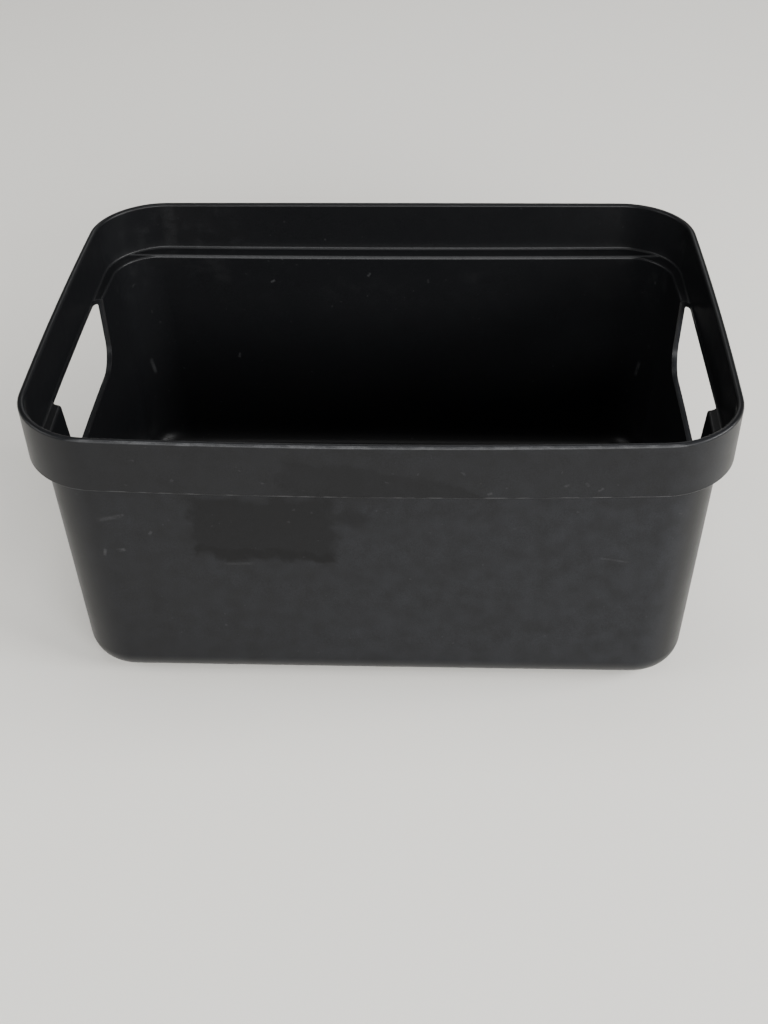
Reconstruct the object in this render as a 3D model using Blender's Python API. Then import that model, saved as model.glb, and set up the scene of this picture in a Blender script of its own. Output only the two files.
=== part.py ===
"""Open storage basket, one injection moulding: tub, step ledge, rim collar and two hand slots.

Metres, +Z up, origin at the middle of the resting face, length along X.
"""
import math

import bmesh
import bpy

MM = 0.001

# Driving dimensions, millimetres
HALF_LENGTH = 142.5       # widest point of the collar, mid short side
HALF_WIDTH = 100.65       # widest point of the collar, mid long side
HEIGHT = 135.2            # rim height at the two ends
RIM_DIP = 1.9             # how far the rim sags half way along a long side
BACK_RISE = 1.2           # the back rim sags this much less than the front one
BOW_LONG = 1.85           # outward bow of a long side
BOW_SHORT = 1.9           # outward bow of a short side
CORNER = 33.0             # plan radius of the collar corners
COLLAR_HEIGHT = 24.6
COLLAR_DRAFT = 0.55
COLLAR_WALL = 3.6         # at its foot
LIP_WALL = 2.9            # at the rim
LIP_ROUND = 1.3           # rounding of the rim's two top edges
STEP_LONG = 9.2           # collar stands this far proud of the tub's long walls
STEP_SHORT = 5.15         # and this far proud of its short walls
TAPER_LONG = 1.8          # the long walls draw in by this much down to the base
TAPER_SHORT = 5.85
BODY_BOW_SHORT = 2.9      # bow of the short walls at their top
BODY_CORNER = 24.0        # plan radius of the tub's corners at the top
BASE_CORNER = 21.8
BASE_ROUND = 12.5         # rounding between tub wall and base
BODY_WALL = 2.5
FLOOR = 2.8
LEDGE_DROP = 22.4         # rim top down to the step ledge
SLOT_HALF = 42.3          # hand slot, half its width where its lower corners begin
SLOT_TOP_HALF = 44.8      # half its width at the ledge
SLOT_SILL = 79.9          # height of the slot's bottom edge
SLOT_ROUND = 14.0
SLOT_STRIP = 0.5          # width of ledge that stays along the collar, over the slot
SLOT_END_ROUND = 3.6      # plan rounding where a slot's ends meet the collar
FOOT_WIDTH = 4.0          # flat band round the base that the basket stands on
FOOT_DROP = 0.8           # the panel inside the band is recessed by this much

ARC_STEPS = 6
SIDE_STEPS = 4


def clear_scene():
    for obj in list(bpy.data.objects):
        bpy.data.objects.remove(obj, do_unlink=True)


def quadrant(half_x, half_y, corner, bow_x, bow_y):
    """Points of one quarter of a bowed rounded rectangle, from the X axis round to the Y axis."""
    long_r = (half_x ** 2 + bow_x ** 2) / (2.0 * bow_x)
    short_r = (half_y ** 2 + bow_y ** 2) / (2.0 * bow_y)
    long_c = (0.0, half_y - long_r)
    short_c = (half_x - short_r, 0.0)
    reach_long = long_r - corner
    reach_short = short_r - corner
    dx = short_c[0] - long_c[0]
    dy = short_c[1] - long_c[1]
    gap = math.hypot(dx, dy)
    along = (reach_long ** 2 - reach_short ** 2 + gap ** 2) / (2.0 * gap)
    off = math.sqrt(max(reach_long ** 2 - along ** 2, 0.0))
    ux, uy = dx / gap, dy / gap
    choices = [
        (long_c[0] + along * ux - s * off * uy, long_c[1] + along * uy + s * off * ux)
        for s in (1.0, -1.0)
    ]
    centre = max(choices, key=lambda c: c[0] + c[1])
    turn_short = math.atan2(centre[1] - short_c[1], centre[0] - short_c[0])
    turn_long = math.atan2(centre[1] - long_c[1], centre[0] - long_c[0])
    points = []
    for i in range(SIDE_STEPS):
        a = turn_short * i / SIDE_STEPS
        points.append((short_c[0] + short_r * math.cos(a), short_c[1] + short_r * math.sin(a)))
    for i in range(ARC_STEPS):
        a = turn_short + (turn_long - turn_short) * i / ARC_STEPS
        points.append((centre[0] + corner * math.cos(a), centre[1] + corner * math.sin(a)))
    for i in range(SIDE_STEPS + 1):
        a = turn_long + (math.pi / 2.0 - turn_long) * i / SIDE_STEPS
        points.append((long_c[0] + long_r * math.cos(a), long_c[1] + long_r * math.sin(a)))
    return points


def outline(inset_x, inset_y, corner, bow_long, bow_short):
    """Whole outline, drawn in from the collar's widest outline by the two insets."""
    q = quadrant(HALF_LENGTH - inset_x, HALF_WIDTH - inset_y, corner, bow_long, bow_short)
    right_back = q[:-1]
    left_back = [(-x, y) for x, y in reversed(q)][:-1]
    left_front = [(-x, -y) for x, y in q][:-1]
    right_front = [(x, -y) for x, y in reversed(q)][:-1]
    return right_back + left_back + left_front + right_front


def sag(x, y, half, z):
    """Height of a loop point, following the dip of the rim, fading to nothing at the base."""
    share = max(0.0, min(1.0, z / (HEIGHT - COLLAR_HEIGHT)))
    above = max(0.0, min(1.0, (z - HEIGHT + LEDGE_DROP) / LEDGE_DROP))
    dip = RIM_DIP - BACK_RISE * above * max(0.0, y / HALF_WIDTH)
    return z - dip * share * (1.0 - (x / half) ** 2)


def collar_row(inset, z):
    return inset, inset, z, CORNER - inset, BOW_LONG, BOW_SHORT


def wall_row(share, z, wall):
    """Station on the tub wall, from its foot (share 0) to its top (share 1), wall mm inside its face."""
    inset_x = COLLAR_DRAFT + STEP_SHORT + TAPER_SHORT * (1.0 - share) + wall
    inset_y = COLLAR_DRAFT + STEP_LONG + TAPER_LONG * (1.0 - share) + wall
    corner = BASE_CORNER + (BODY_CORNER - BASE_CORNER) * share - wall
    bow = 0.05 + 0.95 * share
    return inset_x, inset_y, z, corner, BOW_LONG * bow, BODY_BOW_SHORT * bow


def drawn_in(row, inset, z):
    """The same station, a little further in, at another height."""
    return row[0] + inset, row[1] + inset, z, max(row[3] - inset, 4.0), row[4], row[5]


def shell_profile():
    """Stations from the middle of the base, up outside, over the rim and down inside.

    Each is (inset from the short sides, inset from the long sides, height, corner, two bows).
    """
    top = HEIGHT - COLLAR_HEIGHT
    rows = []
    # recessed base panel, the foot band round it and the rounding up to the wall
    foot = wall_row(0.0, BASE_ROUND, 0.0)
    band = BASE_ROUND + FOOT_WIDTH
    rows.append(drawn_in(foot, band + FOOT_DROP, FOOT_DROP))
    rows.append(drawn_in(foot, band, 0.0))
    for i in range(7):
        a = math.radians(88.0) * i / 6.0
        rows.append(drawn_in(foot, BASE_ROUND * (1.0 - math.sin(a)), BASE_ROUND * (1.0 - math.cos(a))))
    # tub wall, outside
    for share in (0.35, 0.7, 1.0):
        rows.append(wall_row(share, BASE_ROUND + (top - BASE_ROUND) * share, 0.0))
    # collar: underside, outside, rounded lip, inside
    rows.append(collar_row(COLLAR_DRAFT + 0.7, top))
    rows.append(collar_row(COLLAR_DRAFT + 0.1, top + 0.5))
    for i in range(4):
        a = math.pi / 6.0 * i
        rows.append(collar_row(LIP_ROUND * (1.0 - math.cos(a)), HEIGHT - LIP_ROUND * (1.0 - math.sin(a))))
    for i in (3, 2, 1, 0):
        a = math.pi / 6.0 * i
        inset = LIP_WALL - LIP_ROUND * (1.0 - math.cos(a))
        rows.append(collar_row(inset, HEIGHT - LIP_ROUND * (1.0 - math.sin(a))))
    # foot of the collar's inner wall, the ledge and its rounded inner edge
    ledge = HEIGHT - LEDGE_DROP
    edge = 1.2
    for i in range(4):
        a = math.pi / 6.0 * i
        inset = COLLAR_WALL + 0.1 + edge * (1.0 - math.cos(a))
        rows.append(collar_row(inset, ledge + edge * (1.0 - math.sin(a))))
    nose = wall_row(1.0, ledge, BODY_WALL)
    for i in range(4):
        a = math.pi / 6.0 * i
        rows.append(drawn_in(nose, edge * (math.sin(a) - 1.0), ledge - edge * (1.0 - math.cos(a))))
    # tub wall, inside, and the floor
    low = FLOOR + BASE_ROUND - BODY_WALL
    for share in (0.65, 0.3, 0.0):
        rows.append(wall_row(share, low + (ledge - edge - low) * share, BODY_WALL))
    inner_foot = rows[-1]
    inner_round = low - FLOOR
    for i in range(1, 7):
        a = math.pi / 12.0 * i
        rows.append(drawn_in(inner_foot, inner_round * (1.0 - math.cos(a)), low - inner_round * math.sin(a)))
    return rows


def make_material(name, colour, roughness, metallic):
    mat = bpy.data.materials.new(name)
    mat.use_nodes = True
    bsdf = mat.node_tree.nodes["Principled BSDF"]
    bsdf.inputs["Base Color"].default_value = colour
    bsdf.inputs["Roughness"].default_value = roughness
    bsdf.inputs["Metallic"].default_value = metallic
    return mat


def add_object(name, bm):
    bmesh.ops.recalc_face_normals(bm, faces=bm.faces[:])
    mesh = bpy.data.meshes.new(name)
    bm.to_mesh(mesh)
    bm.free()
    obj = bpy.data.objects.new(name, mesh)
    bpy.context.scene.collection.objects.link(obj)
    return obj


def build_shell():
    bm = bmesh.new()
    loops = []
    for inset_x, inset_y, z, corner, bow_long, bow_short in shell_profile():
        half = HALF_LENGTH - inset_x
        ring = [
            bm.verts.new((x * MM, y * MM, sag(x, y, half, z) * MM))
            for x, y in outline(inset_x, inset_y, corner, bow_long, bow_short)
        ]
        loops.append(ring)
    count = len(loops[0])
    for lower, upper in zip(loops, loops[1:]):
        for i in range(count):
            j = (i + 1) % count
            bm.faces.new((lower[i], lower[j], upper[j], upper[i]))
    bm.faces.new(list(reversed(loops[0])))
    bm.faces.new(loops[-1])
    return add_object("basket_shell", bm)


def slot_cutter(side):
    """Block through one short wall and its ledge, up to a narrow strip along the collar."""
    inset = COLLAR_WALL + SLOT_STRIP
    short_r = ((HALF_WIDTH - inset) ** 2 + BOW_SHORT ** 2) / (2.0 * BOW_SHORT)
    near = HALF_LENGTH - 35.0
    high = HEIGHT - 15.0
    shoulder = SLOT_SILL + SLOT_ROUND
    lean = (SLOT_TOP_HALF - SLOT_HALF) / (HEIGHT - LEDGE_DROP - shoulder)
    end = SLOT_HALF + lean * (high - 1.0 - shoulder)
    stations = []
    for i in range(4):
        share = i / 4.0
        stations.append((end - (end - SLOT_HALF) * share, high - 1.0 - (high - 1.0 - shoulder) * share))
    for i in range(9):
        a = math.pi / 16.0 * i
        y = SLOT_HALF - SLOT_ROUND * (1.0 - math.cos(a))
        stations.append((y, SLOT_SILL + SLOT_ROUND * (1.0 - math.sin(a))))
    stations.append((0.0, SLOT_SILL))
    stations += [(-y, z) for y, z in reversed(stations[:-1])]
    bm = bmesh.new()
    rings = []
    for y, low in stations:
        far = HALF_LENGTH - inset - short_r + math.sqrt(short_r ** 2 - y ** 2)
        past = max(0.0, abs(y) - end + SLOT_END_ROUND)
        far -= SLOT_END_ROUND - math.sqrt(SLOT_END_ROUND ** 2 - past ** 2)
        corners = ((near, low), (far, low), (far, high), (near, high))
        rings.append([bm.verts.new((side * x * MM, y * MM, z * MM)) for x, z in corners])
    for one, two in zip(rings, rings[1:]):
        for i in range(4):
            j = (i + 1) % 4
            bm.faces.new((one[i], one[j], two[j], two[i]))
    bm.faces.new(rings[0])
    bm.faces.new(rings[-1])
    obj = add_object("cut_slot_right" if side > 0 else "cut_slot_left", bm)
    obj.hide_render = True
    obj.display_type = "WIRE"
    return obj


def main():
    clear_scene()
    charcoal = make_material("charcoal_plastic", (0.033, 0.034, 0.036, 1.0), 0.5, 0.0)
    shell = build_shell()
    shell.data.materials.append(charcoal)
    for side in (-1, 1):
        cutter = slot_cutter(side)
        mod = shell.modifiers.new("slot", "BOOLEAN")
        mod.operation = "DIFFERENCE"
        mod.solver = "EXACT"
        mod.object = cutter
    for poly in shell.data.polygons:
        poly.use_smooth = True
    shell.data.set_sharp_from_angle(angle=math.radians(32.0))


main()
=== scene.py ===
"""Storage basket in charcoal plastic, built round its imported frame, with a plain stage."""
import math
from collections import namedtuple

import bmesh
import bpy
from bpy.props import FloatProperty, FloatVectorProperty, PointerProperty
from bpy.types import Operator, Panel, PropertyGroup
from mathutils import Matrix, Vector


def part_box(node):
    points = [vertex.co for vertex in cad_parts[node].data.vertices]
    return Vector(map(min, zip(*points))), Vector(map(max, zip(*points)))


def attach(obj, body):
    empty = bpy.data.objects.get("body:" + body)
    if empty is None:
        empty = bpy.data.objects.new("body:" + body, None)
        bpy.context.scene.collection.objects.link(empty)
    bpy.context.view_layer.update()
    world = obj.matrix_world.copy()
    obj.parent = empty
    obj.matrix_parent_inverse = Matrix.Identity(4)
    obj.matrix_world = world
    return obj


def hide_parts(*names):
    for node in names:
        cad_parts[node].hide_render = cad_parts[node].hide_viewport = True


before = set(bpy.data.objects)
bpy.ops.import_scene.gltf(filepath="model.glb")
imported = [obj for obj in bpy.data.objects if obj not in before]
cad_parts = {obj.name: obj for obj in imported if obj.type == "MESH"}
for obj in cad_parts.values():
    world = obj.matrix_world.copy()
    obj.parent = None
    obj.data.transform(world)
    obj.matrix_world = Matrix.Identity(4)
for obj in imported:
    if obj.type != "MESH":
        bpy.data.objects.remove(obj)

bl_info = {
    "name": "Storage basket",
    "version": (1, 0, 0),
    "blender": (4, 5, 0),
    "location": "3D View > Sidebar > Basket",
    "description": "Builds a moulded storage basket and the stage that it stands on",
    "category": "Object",
}

SHELL_NODE = "basket_shell"
BOX_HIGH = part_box(SHELL_NODE)[1]
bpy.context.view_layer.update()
SMALLEST_CORNER = 0.0045

# One level of the moulding: how far its outline lies inside the rim's widest outline at the short
# and the long sides, its height, the plan radius of its corners, and the extra bow of its short
# sides, all in metres.
Level = namedtuple("Level", "inset_x inset_y height corner bow", defaults=(0.0,))

# One scratch or rub on a long wall: its middle, its turn from the horizontal, how far it reaches to
# each side and how wide it is, in millimetres and radians, and how strongly it shows.
Mark = namedtuple("Mark", "x z turn reach width depth")
FRONT_MARKS = (
    Mark(-107.5, 89.3, 0.25, 6.5, 1.3, 0.35),
    Mark(-112.1, 71.1, 1.3, 2.2, 1.0, 0.6),
    Mark(-105.3, 72.4, 0.2, 2.4, 1.1, 0.7),
    Mark(-92.0, 81.8, 0.9, 1.3, 0.8, 0.6),
    Mark(95.3, 70.3, -0.18, 7.5, 0.7, 0.3),
    Mark(-57.0, 66.2, 0.03, 7.0, 0.9, 0.25),
    Mark(43.9, 111.4, 0.5, 1.4, 0.8, 0.5),
    Mark(72.8, 115.5, 0.4, 1.3, 0.7, 0.5),
    Mark(80.7, 116.0, 2.2, 1.4, 0.7, 0.45),
    Mark(85.8, 113.6, 0.7, 1.6, 0.7, 0.5),
)
INSIDE_MARKS = (
    Mark(-59.5, 97.9, 0.5, 1.5, 0.8, 0.3),
    Mark(-11.7, 101.5, 1.0, 1.5, 0.9, 0.3),
    Mark(-79.6, 55.3, 1.4, 1.8, 0.9, 0.25),
    Mark(-109.5, 124.0, 1.57, 16.0, 4.5, 0.06),
)
# a pale streak in each of the two rear inner corners
CORNER_STREAK = Mark(123.8, 52.0, 1.42, 5.4, 0.9, 0.28)


def length(name, description, default):
    return FloatProperty(name=name, description=description, default=default, unit="LENGTH", precision=5)


class BasketSizes(PropertyGroup):
    half_length: length("Half length", "Middle of the basket to the rim's end", BOX_HIGH.x)
    half_width: length("Half width", "Middle of the basket to the rim's side", BOX_HIGH.y)
    height: length("Height", "Rim height at the two ends", BOX_HIGH.z)
    rim_dip: length("Rim dip", "Sag of the rim half way along a long side", 0.0019)
    back_rise: length("Back rise", "The back rim sags this much less than the front one", 0.0012)
    bow_long: length("Long side bow", "Outward bow of a long side", 0.00185)
    bow_short: length("Short side bow", "Outward bow of a short side", 0.0019)
    rim_corner: length("Rim corner", "Plan radius of the rim's corners", 0.0314)
    collar_height: length("Collar height", "Rim down to the collar's lower edge", 0.0246)
    collar_draft: length("Collar draft", "The collar draws in by this much downwards", 0.00055)
    collar_wall: length("Collar wall", "Thickness of the collar at its foot", 0.0036)
    lip_wall: length("Lip wall", "Thickness of the collar at the rim", 0.0029)
    lip_round: length("Lip rounding", "Radius of the rim's two top edges", 0.0013)
    step_long: length("Long step", "The collar stands this far proud of the long walls", 0.0092)
    step_short: length("Short step", "The collar stands this far proud of the short walls", 0.00515)
    taper_long: length("Long taper", "The long walls draw in by this much down to the base", 0.0018)
    taper_short: length("Short taper", "The short walls draw in by this much down to the base", 0.00585)
    body_bow: length("Wall bow", "How much more the short walls bow at their top than the rim", 0.001)
    body_corner: length("Body corner", "Plan radius of the wall's corners at the top", 0.0222)
    base_corner: length("Base corner", "Plan radius of the wall's corners at the base", 0.0225)
    base_round: length("Base rounding", "Radius between wall and base", 0.0125)
    body_wall: length("Body wall", "Thickness of the wall", 0.0025)
    floor: length("Floor", "Thickness of the floor", 0.0028)
    ledge_drop: length("Ledge drop", "Rim down to the step ledge", 0.0224)
    slot_half: length("Slot half width", "Half the width of a hand slot at its lower corners", 0.0423)
    slot_top_half: length("Slot half width at the ledge", "Half the slot's width at the ledge", 0.0448)
    slot_sill: length("Slot sill", "Height of a hand slot's lower edge", 0.0799)
    slot_round: length("Slot rounding", "Radius of a hand slot's lower corners", 0.014)
    slot_strip: length("Slot strip", "Width of ledge that stays along the collar over a slot", 0.0005)
    slot_end_round: length("Slot end rounding", "Radius where a slot's ends meet the collar", 0.0036)
    foot_width: length("Foot band", "Width of the flat band that the basket stands on", 0.004)
    foot_drop: length("Foot recess", "Depth of the panel inside the foot band", 0.0008)
    edge_break: length("Edge break", "Small rounding of a hand slot's cut edges", 0.00045)


def corner_sweep(count, turn=math.pi / 2.0):
    """Angles of a rounding in equal steps, both ends included."""
    return [turn * i / count for i in range(count + 1)]


def collar_level(s, inset, height):
    return Level(inset, inset, height, s.rim_corner - inset)


def wall_level(s, share, height, wall):
    """Level on the wall, from its foot (share 0) to its top (share 1), wall metres inside its face."""
    inset_x = s.collar_draft + s.step_short + s.taper_short * (1.0 - share) + wall
    inset_y = s.collar_draft + s.step_long + s.taper_long * (1.0 - share) + wall
    corner = s.base_corner + (s.body_corner - s.base_corner) * share - wall
    return Level(inset_x, inset_y, height, corner, s.body_bow * share)


def drawn_in(level, inset, height):
    """The same level a little further in, at another height."""
    corner = max(level.corner - inset, SMALLEST_CORNER)
    return Level(level.inset_x + inset, level.inset_y + inset, height, corner, level.bow)


def underside_levels(s):
    """Recessed base panel, foot band and the rounding up to the wall."""
    foot = wall_level(s, 0.0, s.base_round, 0.0)
    soft = 0.00035
    band = s.base_round + s.foot_width
    levels = [
        drawn_in(foot, band + s.foot_drop + soft, s.foot_drop),
        drawn_in(foot, band + s.foot_drop * 0.8, s.foot_drop - soft * 0.4),
        drawn_in(foot, band + soft * 0.5, soft * 0.4),
        drawn_in(foot, band - soft, 0.0),
    ]
    for angle in corner_sweep(12, math.radians(88.0)):
        inset = s.base_round * (1.0 - math.sin(angle))
        levels.append(drawn_in(foot, inset, s.base_round * (1.0 - math.cos(angle))))
    return levels


def collar_levels(s):
    """Outside of the wall's top, the collar and its rounded lip, down to the ledge's foot."""
    under = s.height - s.collar_height
    neck = 0.0007
    hem = 0.0006
    wall_top = wall_level(s, 1.0, under - neck, 0.0)
    levels = [
        wall_top,
        drawn_in(wall_top, -neck * 0.3, under - neck * 0.3),
        drawn_in(wall_top, -neck, under),
    ]
    for angle in corner_sweep(4):
        inset = s.collar_draft + hem * (1.0 - math.sin(angle))
        levels.append(collar_level(s, inset, under + hem * (1.0 - math.cos(angle))))
    for angle in corner_sweep(6):
        inset = s.lip_round * (1.0 - math.cos(angle))
        levels.append(collar_level(s, inset, s.height - s.lip_round * (1.0 - math.sin(angle))))
    for angle in reversed(corner_sweep(6)):
        inset = s.lip_wall - s.lip_round * (1.0 - math.cos(angle))
        levels.append(collar_level(s, inset, s.height - s.lip_round * (1.0 - math.sin(angle))))
    return levels


def inside_levels(s):
    """Foot of the collar's inner wall, the ledge with its rounded nose, the inner wall, the floor."""
    ledge = s.height - s.ledge_drop
    edge = 0.0012
    levels = []
    for angle in corner_sweep(5):
        inset = s.collar_wall + 0.0001 + edge * (1.0 - math.cos(angle))
        levels.append(collar_level(s, inset, ledge + edge * (1.0 - math.sin(angle))))
    nose = wall_level(s, 1.0, ledge, s.body_wall)
    for angle in corner_sweep(6):
        height = ledge - edge * (1.0 - math.cos(angle))
        levels.append(drawn_in(nose, edge * (math.sin(angle) - 1.0), height))
    inner_round = s.base_round - s.body_wall
    foot = wall_level(s, 0.0, s.floor + inner_round, s.body_wall)
    for angle in corner_sweep(10):
        height = s.floor + inner_round * (1.0 - math.sin(angle))
        levels.append(drawn_in(foot, inner_round * (1.0 - math.cos(angle)), height))
    return levels


def start_outline(bm, s, level):
    """First loop: a rectangle whose corners are bevelled round and whose sides are cut up evenly."""
    bmesh.ops.create_grid(bm, x_segments=1, y_segments=1, size=1.0)
    half_x = s.half_length - level.inset_x
    half_y = s.half_width - level.inset_y
    bmesh.ops.scale(bm, vec=(half_x, half_y, 1.0), verts=bm.verts)
    bmesh.ops.translate(bm, vec=(0.0, 0.0, level.height), verts=bm.verts)
    bmesh.ops.bevel(
        bm, geom=bm.verts[:], offset=level.corner, offset_type="OFFSET", affect="VERTICES",
        segments=16, profile=0.5, material=-1,
    )
    sides = [edge for edge in bm.edges if edge.calc_length() > 0.05]
    long_sides = [edge for edge in sides if abs(edge.verts[0].co.y - edge.verts[1].co.y) < 1e-6]
    short_sides = [edge for edge in sides if abs(edge.verts[0].co.x - edge.verts[1].co.x) < 1e-6]
    bmesh.ops.subdivide_edges(bm, edges=long_sides, cuts=27)
    bmesh.ops.subdivide_edges(bm, edges=short_sides, cuts=17)
    return [edge for edge in bm.edges if edge.is_boundary]


def move_loop(verts, s, old, new):
    """Carries a loop from one level to the next, with its corners round and its sides straight."""
    old_x = s.half_length - old.inset_x - old.corner
    old_y = s.half_width - old.inset_y - old.corner
    new_x = s.half_length - new.inset_x - new.corner
    new_y = s.half_width - new.inset_y - new.corner
    for vert in verts:
        core = Vector((max(-old_x, min(old_x, vert.co.x)), max(-old_y, min(old_y, vert.co.y))))
        outward = (vert.co.xy - core) / old.corner
        place = Vector((core.x * new_x / old_x, core.y * new_y / old_y)) + outward * new.corner
        vert.co = (place.x, place.y, new.height)


def loft_shell(s):
    """Closed moulding with straight sides, extruded loop by loop up the outside and down the inside."""
    levels = underside_levels(s) + collar_levels(s) + inside_levels(s)
    bm = bmesh.new()
    loop = start_outline(bm, s, levels[0])
    bowed = []
    for old, new in zip(levels, levels[1:]):
        made = bmesh.ops.extrude_edge_only(bm, edges=loop)["geom"]
        verts = [item for item in made if isinstance(item, bmesh.types.BMVert)]
        edges = [item for item in made if isinstance(item, bmesh.types.BMEdge)]
        move_loop(verts, s, old, new)
        ring = set(verts)
        loop = [edge for edge in edges if edge.verts[0] in ring and edge.verts[1] in ring]
        bowed += [(vert, new.bow) for vert in verts if new.bow]
    for vert, bow in bowed:
        vert.co.x *= 1.0 - bow / s.half_length * (vert.co.y / s.half_width) ** 2
    bmesh.ops.edgeloop_fill(bm, edges=loop)
    bmesh.ops.recalc_face_normals(bm, faces=bm.faces)
    return bm


def slot_cutter(bm, s, side):
    """Block with two rounded lower edges and leaning ends, through a short wall and its ledge."""
    near = s.half_length - 0.035
    far = s.half_length - s.collar_wall - s.slot_strip
    high = s.height - 0.015
    made = bmesh.ops.create_cube(bm, size=1.0)["verts"]
    bmesh.ops.scale(bm, vec=(far - near, 2.0 * s.slot_half, high - s.slot_sill), verts=made)
    centre = ((near + far) / 2.0 * side, 0.0, (high + s.slot_sill) / 2.0)
    bmesh.ops.translate(bm, vec=centre, verts=made)
    lower = []
    for edge in {edge for vert in made for edge in vert.link_edges}:
        one, two = (vert.co for vert in edge.verts)
        if abs(one.x - two.x) > 0.001 and one.z < centre[2]:
            lower.append(edge)
    bmesh.ops.bevel(
        bm, geom=lower, offset=s.slot_round, offset_type="OFFSET", affect="EDGES",
        segments=12, profile=0.5, material=-1,
    )
    outer = []
    for edge in bm.edges:
        at_far = all(abs(abs(vert.co.x) - far) < 0.0001 and vert.co.x * side > 0.0 for vert in edge.verts)
        if at_far and min(vert.co.z for vert in edge.verts) < high - 0.0001:
            outer.append(edge)
    bmesh.ops.bevel(
        bm, geom=outer, offset=s.slot_end_round, offset_type="OFFSET", affect="EDGES",
        segments=5, profile=0.5, material=-1,
    )
    lean = (s.slot_top_half - s.slot_half) / (s.height - s.ledge_drop - s.slot_sill - s.slot_round)
    for vert in bm.verts:
        if vert.co.z > high - 0.0001 and vert.co.x * side > 0.0:
            vert.co.y += math.copysign(lean * (high - s.slot_sill - s.slot_round), vert.co.y)


def gate_cutter(bm):
    """Shallow dish in the middle of the base, which keeps the gate mark clear of the table."""
    rim_radius, dish_radius, depth, middle = 0.0066, 0.0058, 0.0008, 0.0009
    bmesh.ops.create_cone(
        bm, cap_ends=True, segments=48, radius1=rim_radius, radius2=dish_radius, depth=depth,
        matrix=Matrix.Translation((0.0, 0.0, middle)),
    )


def mesh_object(name, bm):
    mesh = bpy.data.meshes.new(name)
    bm.to_mesh(mesh)
    bm.free()
    piece = bpy.data.objects.new(name, mesh)
    bpy.context.scene.collection.objects.link(piece)
    return piece


def cut(piece, cutter):
    """Takes the cutter's shape out of the piece and removes the cutter."""
    modifier = piece.modifiers.new("openings", "BOOLEAN")
    modifier.operation = "DIFFERENCE"
    modifier.solver = "EXACT"
    modifier.object = cutter
    bpy.context.view_layer.update()
    graph = bpy.context.evaluated_depsgraph_get()
    mesh = bpy.data.meshes.new_from_object(piece.evaluated_get(graph))
    piece.modifiers.clear()
    old_mesh = piece.data
    piece.data = mesh
    mesh.name = piece.name
    bpy.data.meshes.remove(old_mesh)
    bpy.data.meshes.remove(cutter.data)


def break_slot_edges(bm, s):
    """Small rounding along every cut edge of the two hand slots."""
    reach = s.slot_top_half + 0.002
    edges = []
    for edge in bm.edges:
        if len(edge.link_faces) != 2:
            continue
        middle = (edge.verts[0].co + edge.verts[1].co) / 2.0
        near_slot = abs(middle.x) > s.half_length - 0.03 and abs(middle.y) < reach
        if near_slot and s.slot_sill - 0.001 < middle.z < s.height - 0.02:
            if edge.calc_face_angle() > math.radians(35.0):
                edges.append(edge)
    bmesh.ops.bevel(
        bm, geom=edges, offset=s.edge_break, offset_type="OFFSET", affect="EDGES",
        segments=3, profile=0.5, material=-1, clamp_overlap=True,
    )


def bow_sides(bm, s):
    """Draws the corners in behind the middles of the sides, and lets the rim sag between its ends."""
    top = s.height - s.collar_height
    for vert in bm.verts:
        x, y, z = vert.co
        share = max(0.0, min(1.0, z / top))
        along_x = (x / s.half_length) ** 2
        along_y = (y / s.half_width) ** 2
        strength = 0.05 + 0.95 * max(0.0, min(1.0, (z - s.base_round) / (top - s.base_round)))
        vert.co.x = x * (1.0 - s.bow_short * strength / s.half_length * along_y)
        vert.co.y = y * (1.0 - s.bow_long * strength / s.half_width * along_x)
        above = max(0.0, min(1.0, (z - s.height + s.ledge_drop) / s.ledge_drop))
        dip = s.rim_dip - s.back_rise * above * max(0.0, y / s.half_width)
        vert.co.z = z - dip * share * (1.0 - along_x)


class BASKET_OT_shell(Operator):
    """Builds the one-piece moulding: floor, walls, ledge, collar and hand slots"""

    bl_idname = "basket.shell"
    bl_label = "Basket shell"

    def execute(self, context):
        s = context.scene.basket_sizes
        shell = mesh_object("basket", loft_shell(s))
        cutters = bmesh.new()
        for side in (-1.0, 1.0):
            slot_cutter(cutters, s, side)
        gate_cutter(cutters)
        cut(shell, mesh_object("openings", cutters))
        bm = bmesh.new()
        bm.from_mesh(shell.data)
        bmesh.ops.remove_doubles(bm, verts=bm.verts, dist=1e-6)
        break_slot_edges(bm, s)
        bow_sides(bm, s)
        open_edges = [edge for edge in bm.edges if not edge.is_manifold]
        if open_edges:
            raise RuntimeError(f"the moulding has {len(open_edges)} open edges")
        bm.to_mesh(shell.data)
        bm.free()
        shell.data.shade_smooth()
        weighted = shell.modifiers.new("weighted normals", "WEIGHTED_NORMAL")
        weighted.weight = 50
        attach(shell, "root")
        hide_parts(SHELL_NODE)
        return {"FINISHED"}


class Wire:
    """A node socket that takes part in arithmetic; every operation adds one node to its net."""

    def __init__(self, net, socket):
        self.net = net
        self.socket = socket

    def math(self, operation, *others):
        sockets = dict(enumerate((self, *others)))
        return self.net.node("ShaderNodeMath", {"operation": operation}, sockets)

    def __add__(self, other):
        return self.math("ADD", other)

    def __sub__(self, other):
        return self.math("SUBTRACT", other)

    def __mul__(self, other):
        return self.math("MULTIPLY", other)

    def __truediv__(self, other):
        return self.math("DIVIDE", other)

    def __radd__(self, other):
        return self.math("ADD", other)

    def __rsub__(self, other):
        return self.net.node("ShaderNodeMath", {"operation": "SUBTRACT"}, {0: other, 1: self})

    def __rmul__(self, other):
        return self.math("MULTIPLY", other)

    def __abs__(self):
        return self.math("ABSOLUTE")

    def rise(self, low, high):
        """Smooth step from 0 at low to 1 at high."""
        settings = {"interpolation_type": "SMOOTHSTEP"}
        return self.net.node("ShaderNodeMapRange", settings, {0: self, 1: low, 2: high, 3: 0.0, 4: 1.0})

    def fall(self, low, high):
        """Smooth step from 1 at low to 0 at high."""
        return 1.0 - self.rise(low, high)


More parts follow.
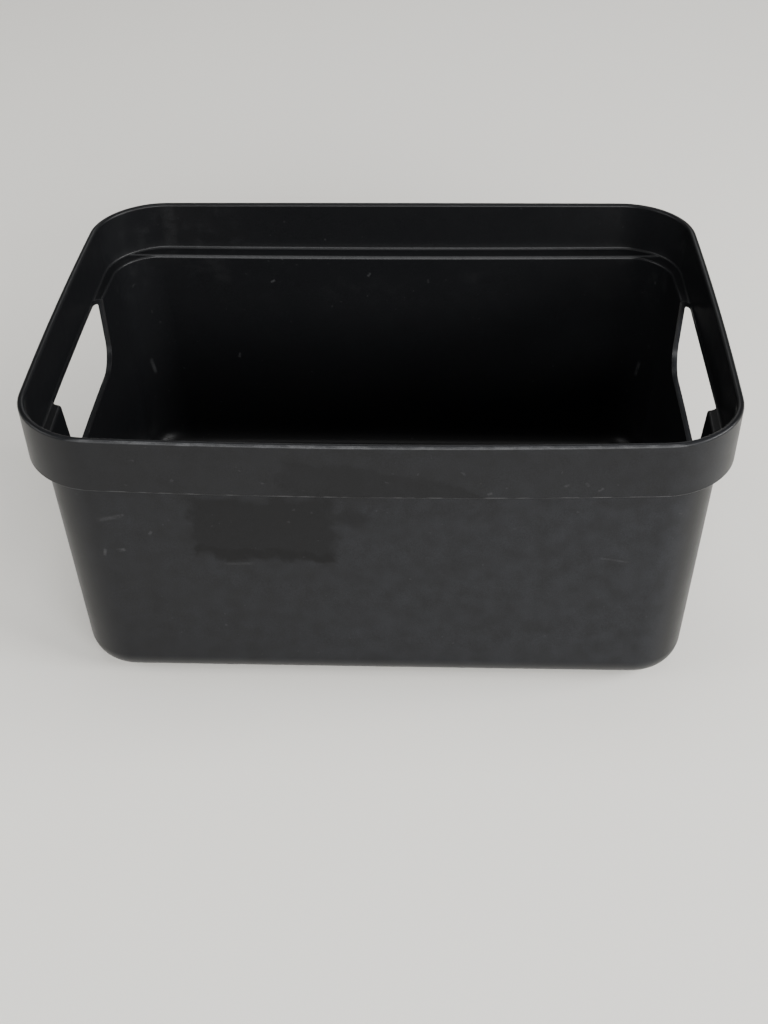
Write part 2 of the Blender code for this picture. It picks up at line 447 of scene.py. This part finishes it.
class Net:
    """Node tree of one material, with its object coordinates in millimetres."""

    def __init__(self, name):
        self.material = bpy.data.materials.new(name)
        self.material.use_nodes = True
        self.tree = self.material.node_tree
        self.shader = self.tree.nodes["Principled BSDF"]
        metres = self.node("ShaderNodeTexCoord", {}, {}, "Object")
        self.place = self.node("ShaderNodeVectorMath", {"operation": "SCALE"}, {0: metres, "Scale": 1000.0})
        self.x, self.y, self.z = (
            self.node("ShaderNodeSeparateXYZ", {}, {0: self.place}, axis) for axis in ("X", "Y", "Z")
        )

    def node(self, kind, settings, sockets, output=0):
        node = self.tree.nodes.new(kind)
        for name, value in settings.items():
            setattr(node, name, value)
        for key, value in sockets.items():
            if isinstance(value, Wire):
                self.tree.links.new(value.socket, node.inputs[key])
            else:
                node.inputs[key].default_value = value
        return Wire(self, node.outputs[output])

    def noise(self, size, detail, offset=(0.0, 0.0, 0.0), stretch=(1.0, 1.0, 1.0)):
        """Noise from 0 to 1 with patches of the given size in millimetres, stretched along the axes."""
        scale = tuple(1.0 / (size * factor) for factor in stretch)
        at = self.node("ShaderNodeMapping", {}, {"Vector": self.place, "Location": offset, "Scale": scale})
        return self.node("ShaderNodeTexNoise", {}, {"Vector": at, "Scale": 1.0, "Detail": detail})

    def blend(self, factor, first, second):
        """Colour between first (factor 0) and second (factor 1)."""
        settings = {"data_type": "RGBA"}
        return self.node("ShaderNodeMix", settings, {0: factor, 6: first, 7: second}, 2)

    def feed(self, **sockets):
        """Sets or links the shader's own sockets."""
        for key, value in sockets.items():
            socket = self.shader.inputs[key.replace("_", " ")]
            if isinstance(value, Wire):
                self.tree.links.new(value.socket, socket)
            else:
                socket.default_value = value


def patch(x, z, left, right, low, high, soft):
    """Rectangle with soft edges on a long wall."""
    reach_x = (right - left) / 2.0
    reach_z = (high - low) / 2.0
    across = abs(x - (left + right) / 2.0).fall(reach_x - soft, reach_x + soft)
    up = abs(z - (low + high) / 2.0).fall(reach_z - soft, reach_z + soft)
    return across * up


def streak(x, z, mark):
    """Short scratch or rub, fading towards its ends."""
    right, up = x - mark.x, z - mark.z
    along = right * math.cos(mark.turn) + up * math.sin(mark.turn)
    aside = up * math.cos(mark.turn) - right * math.sin(mark.turn)
    line = abs(along).fall(mark.reach * 0.5, mark.reach) * abs(aside).fall(mark.width * 0.3, mark.width)
    return line * mark.depth


class BasketLooks(PropertyGroup):
    plastic: FloatVectorProperty(
        name="Plastic", description="Colour of the moulded plastic", subtype="COLOR", size=4,
        min=0.0, max=1.0, default=(0.0048, 0.0050, 0.0056, 1.0),
    )
    # painted light: the outside gets this lighter colour than the inside
    lit_outside: FloatVectorProperty(
        name="Lit outside", description="Plastic greyed by handling, on the outside", subtype="COLOR", size=4,
        min=0.0, max=1.0, default=(0.0112, 0.0120, 0.0142, 1.0),
    )
    wiped: FloatVectorProperty(
        name="Wiped", description="Smeared, darker plastic", subtype="COLOR", size=4,
        min=0.0, max=1.0, default=(0.0019, 0.0021, 0.0026, 1.0),
    )
    # also the colour of the painted highlights on the rim, the collar's lower edge and the ledge
    scuff_and_highlight: FloatVectorProperty(
        name="Scuffs and highlights", description="Pale scuffs and rubbed edges", subtype="COLOR", size=4,
        min=0.0, max=1.0, default=(0.060, 0.061, 0.063, 1.0),
    )
    roughness: FloatProperty(
        name="Roughness", description="Roughness of the clean plastic", default=0.35, subtype="FACTOR",
        min=0.0, max=1.0,
    )
    refraction: FloatProperty(
        name="Refraction", description="Refractive index of the matte plastic", default=1.27, min=1.0,
    )
    grain_size: FloatProperty(
        name="Grain size", description="Size of the mould's fine grain in millimetres", default=0.45,
    )
    grain_depth: length("Grain depth", "Depth of the mould's fine grain", 0.00003)


class BASKET_OT_finish(Operator):
    """Gives the basket its moulded plastic, with grain, smears, scuffs, painted highlights and painted
    light
    """

    bl_idname = "basket.finish"
    bl_label = "Moulded plastic"

    def execute(self, context):
        looks = context.scene.basket_looks
        sizes = context.scene.basket_sizes
        net = Net("charcoal plastic")
        x, y, z = net.x, net.y, net.z
        ends = (x / (sizes.half_length * 1000.0)).math("POWER", 2.0)
        rim = z + (1.0 - ends) * (sizes.rim_dip * 1000.0)
        side = abs(y) + ends * (sizes.bow_long * 1000.0)
        front = y.fall(-88.0, -84.0)
        rear = y.rise(60.0, 70.0)
        on_collar = rim.rise(110.2, 110.8)

        grain = net.noise(looks.grain_size, 3.0)
        mottle = net.noise(7.0, 3.0, (3.0, 1.0, 5.0))
        cloud = net.noise(38.0, 2.0, (11.0, 4.0, 2.0))
        wobble = (net.noise(7.0, 4.0, (5.0, 8.0, 1.0)) - 0.5) * 17.0
        broken = net.noise(4.0, 3.0, (1.0, 6.0, 9.0), (1.6, 1.0, 0.6))

        # smears on the front: a wiped patch under the collar, darker along its lower edge, with a
        # lobe at its right, and an arched smear on the collar above it
        wx = x + wobble
        wz = z + (net.noise(8.0, 4.0, (2.0, 4.0, 9.0)) - 0.5) * 12.0
        wiped = patch(wx, wz, -75.0, -17.5, 70.5, 101.0, 3.0) * 0.76
        lower_edge = patch(wx, wz + (x + 46.0) * 0.045, -76.0, -17.5, 69.2, 74.6, 1.8)
        lobe = patch(wx, wz, -22.0, -3.0, 88.5, 95.0, 2.2) * 0.55
        wiped = wiped.math("MAXIMUM", lower_edge).math("MAXIMUM", lobe)
        wiped = wiped * (1.0 - on_collar) * (0.55 + mottle * 0.9).math("MINIMUM", 1.0)
        arc = 126.0 - (x + 32.0).math("POWER", 2.0) * 0.0029
        smear = (arc - wz).rise(-0.8, 1.2) * patch(wx, z, -36.0, 42.0, 100.0, 140.0, 3.0) * on_collar
        dark = front * wiped.math("MAXIMUM", smear * 0.45)

        # pale marks: rubs on the front wall, specks on the collar, rubs and corner streaks inside at the
        # back
        marks = sum(streak(x, z, mark) for mark in FRONT_MARKS) * front * 0.45
        inside = sum((streak(x, z, mark) for mark in INSIDE_MARKS), streak(abs(x), z, CORNER_STREAK))
        smudge = mottle.rise(0.5, 0.7) * cloud.rise(0.45, 0.6) * z.rise(80.0, 106.0) * 0.035
        marks = marks + (inside + smudge) * rear

        # wear and painted highlights: the front rim's outer edge and a broken line along the collar's
        # lower edge are wear with painted highlight; the ledge's two edges at the back are painted
        # highlights
        lip = rim.rise(134.0, 134.6) * side.rise(99.5, 100.0) * front
        wear_and_highlight = lip * (0.45 + broken.rise(0.42, 0.66) * 0.55) * (0.6 + grain * 0.6) * 0.85
        hem = abs(rim - 110.95).fall(0.2, 0.55) * side.rise(99.0, 99.6) * front
        wear_and_highlight = wear_and_highlight + hem * broken.rise(0.45, 0.6) * 0.45
        # painted highlights along the ledge's nose and the fillet at the collar's foot, at the back
        nose = abs(rim - 112.4).fall(0.4, 0.9) * abs(side - 89.1).fall(0.5, 1.1)
        foot = abs(rim - 113.3).fall(0.4, 0.9) * abs(side - 96.7).fall(0.4, 0.8)
        wear_and_highlight = wear_and_highlight + (nose * 0.42 + foot * 0.16) * (0.7 + broken * 0.6) * rear
        dust = net.noise(2.3, 1.0, (7.0, 3.0, 4.0)).rise(0.74, 0.8) * 0.16
        pale = (marks * broken.rise(0.3, 0.5) * (0.5 + grain) + wear_and_highlight + dust).math("MINIMUM", 1.0)

        # painted light: the outside is painted lighter than the inside, less so on the collar
        back_face = (side - z * 0.018 - on_collar * 9.0).rise(86.7, 88.8) * y.rise(84.0, 88.0)
        end_face = abs(x) + (y / 100.0).math("POWER", 2.0) * 2.9 - z * 0.06 - on_collar * 5.2
        end_face = end_face.rise(127.8, 129.9) * abs(y).fall(62.0, 76.0)
        outside = front.math("MAXIMUM", back_face).math("MAXIMUM", end_face)
        # mottle and cloud give random tone; the collar term paints shade, the x term paints light to the
        # right
        greyed = 0.93 + (mottle - 0.5) * 2.0 + (cloud - 0.5) * 0.5
        greyed = greyed * outside * (1.0 - on_collar * 0.45) * (1.0 + x * 0.003)
        greyed = greyed.math("MAXIMUM", 0.0).math("MINIMUM", 1.6) / 1.6
        colour = net.blend(greyed, looks.plastic, looks.lit_outside)
        colour = net.blend(dark, colour, looks.wiped)
        # pale: scuffs, rubs and dust, with the painted highlights of the rim, hem and ledge
        colour = net.blend(pale, colour, looks.scuff_and_highlight)
        shade = 0.3 + grain * 1.4
        colour = net.node("ShaderNodeVectorMath", {"operation": "SCALE"}, {0: colour, "Scale": shade})

        # the deepest part of the inside is duller than the rest
        deep = abs(x).fall(119.0, 123.0) * side.fall(79.0, 83.0) * z.fall(10.0, 36.0)
        rough = looks.roughness + (cloud - 0.5) * 0.08 + (mottle - 0.5) * 0.08
        rough = rough + pale * 0.15 + dark * 0.05 + deep * 0.45
        bump = net.node("ShaderNodeBump", {}, {
            "Strength": 0.6, "Distance": looks.grain_depth, "Height": grain + mottle * 2.0,
        })
        net.feed(Base_Color=colour, Roughness=rough, Normal=bump, IOR=looks.refraction)
        bpy.data.objects["basket"].data.materials.append(net.material)
        return {"FINISHED"}


class StageLooks(PropertyGroup):
    floor_colour: FloatVectorProperty(
        name="Floor", description="Colour of the plain floor", subtype="COLOR", size=4,
        min=0.0, max=1.0, default=(0.86, 0.842, 0.79, 1.0),
    )
    camera_place: FloatVectorProperty(
        name="Camera place", description="Where the camera stands", subtype="TRANSLATION", size=3,
        default=(0.0262, -0.5152, 0.4341),
    )
    camera_heading: FloatProperty(
        name="Heading", description="Turn of the camera from straight ahead", default=math.radians(3.15),
        subtype="ANGLE",
    )
    camera_tilt: FloatProperty(
        name="Tilt", description="How far the camera looks down", default=math.radians(38.6),
        subtype="ANGLE",
    )
    camera_roll: FloatProperty(
        name="Roll", description="Lean of the camera", default=math.radians(1.34), subtype="ANGLE",
    )
    lens: FloatProperty(name="Lens", description="Focal length in millimetres", default=48.43)


def plain_material(name, colour, roughness):
    material = bpy.data.materials.new(name)
    material.use_nodes = True
    shader = material.node_tree.nodes["Principled BSDF"]
    shader.inputs["Base Color"].default_value = colour
    shader.inputs["Roughness"].default_value = roughness
    return material


def softbox(name, place, target, size, energy):
    """A large rectangular lamp that faces the target."""
    lamp = bpy.data.lights.new(name, "AREA")
    lamp.shape = "RECTANGLE"
    lamp.size, lamp.size_y = size
    lamp.energy = energy
    box = bpy.data.objects.new(name, lamp)
    bpy.context.scene.collection.objects.link(box)
    box.location = place
    box.rotation_euler = (Vector(target) - Vector(place)).to_track_quat("-Z", "Y").to_euler()


class BASKET_OT_stage(Operator):
    """Sets a pale floor, soft studio light and the camera"""

    bl_idname = "basket.stage"
    bl_label = "Stage"

    def execute(self, context):
        looks = context.scene.stage_looks
        bm = bmesh.new()
        bmesh.ops.create_grid(bm, x_segments=1, y_segments=1, size=3.0)
        floor = mesh_object("floor", bm)
        floor.data.materials.append(plain_material("pale floor", looks.floor_colour, 0.55))
        world = bpy.data.worlds.new("soft room")
        world.use_nodes = True
        background = world.node_tree.nodes["Background"]
        background.inputs["Color"].default_value = (1.0, 0.99, 0.975, 1.0)
        background.inputs["Strength"].default_value = 0.2
        context.scene.world = world
        softbox("front window", (0.7, -2.4, 1.1), (0.0, 0.0, 0.0), (2.8, 0.75), 110.0)
        softbox("right window", (2.3, -0.4, 1.1), (0.0, 0.0, 0.0), (1.8, 0.8), 90.0)
        softbox("left window", (-2.3, -0.5, 1.1), (0.0, 0.0, 0.0), (1.8, 0.8), 28.0)
        softbox("back wall", (0.0, 2.4, 1.3), (0.0, 0.0, 0.1), (1.0, 0.8), 5.0)
        softbox("ceiling", (0.0, 0.1, 2.2), (0.0, 0.0, 0.0), (1.6, 1.0), 13.0)
        data = bpy.data.cameras.new("camera")
        data.lens = looks.lens
        camera = bpy.data.objects.new("camera", data)
        context.scene.collection.objects.link(camera)
        turn = Matrix.Rotation(looks.camera_heading, 4, "Z")
        tilt = Matrix.Rotation(math.pi / 2.0 - looks.camera_tilt, 4, "X")
        roll = Matrix.Rotation(-looks.camera_roll, 4, "Z")
        camera.matrix_world = Matrix.Translation(looks.camera_place) @ turn @ tilt @ roll
        context.scene.camera = camera
        return {"FINISHED"}


class BASKET_PT_panel(Panel):
    bl_label = "Storage basket"
    bl_idname = "BASKET_PT_panel"
    bl_space_type = "VIEW_3D"
    bl_region_type = "UI"
    bl_category = "Basket"

    def draw(self, context):
        for operator in OPERATORS:
            self.layout.operator(operator.bl_idname)
        for group in ("basket_sizes", "basket_looks", "stage_looks"):
            values = getattr(context.scene, group)
            column = self.layout.column()
            for name in values.__annotations__:
                column.prop(values, name)


OPERATORS = (BASKET_OT_shell, BASKET_OT_finish, BASKET_OT_stage)
CLASSES = (BasketSizes, BasketLooks, StageLooks, *OPERATORS, BASKET_PT_panel)


def register():
    for cls in CLASSES:
        bpy.utils.register_class(cls)
    bpy.types.Scene.basket_sizes = PointerProperty(type=BasketSizes)
    bpy.types.Scene.basket_looks = PointerProperty(type=BasketLooks)
    bpy.types.Scene.stage_looks = PointerProperty(type=StageLooks)


def unregister():
    del bpy.types.Scene.basket_sizes
    del bpy.types.Scene.basket_looks
    del bpy.types.Scene.stage_looks
    for cls in reversed(CLASSES):
        bpy.utils.unregister_class(cls)


def main():
    register()
    bpy.ops.basket.shell()
    bpy.ops.basket.finish()
    bpy.ops.basket.stage()


if __name__ == "__main__":
    main()
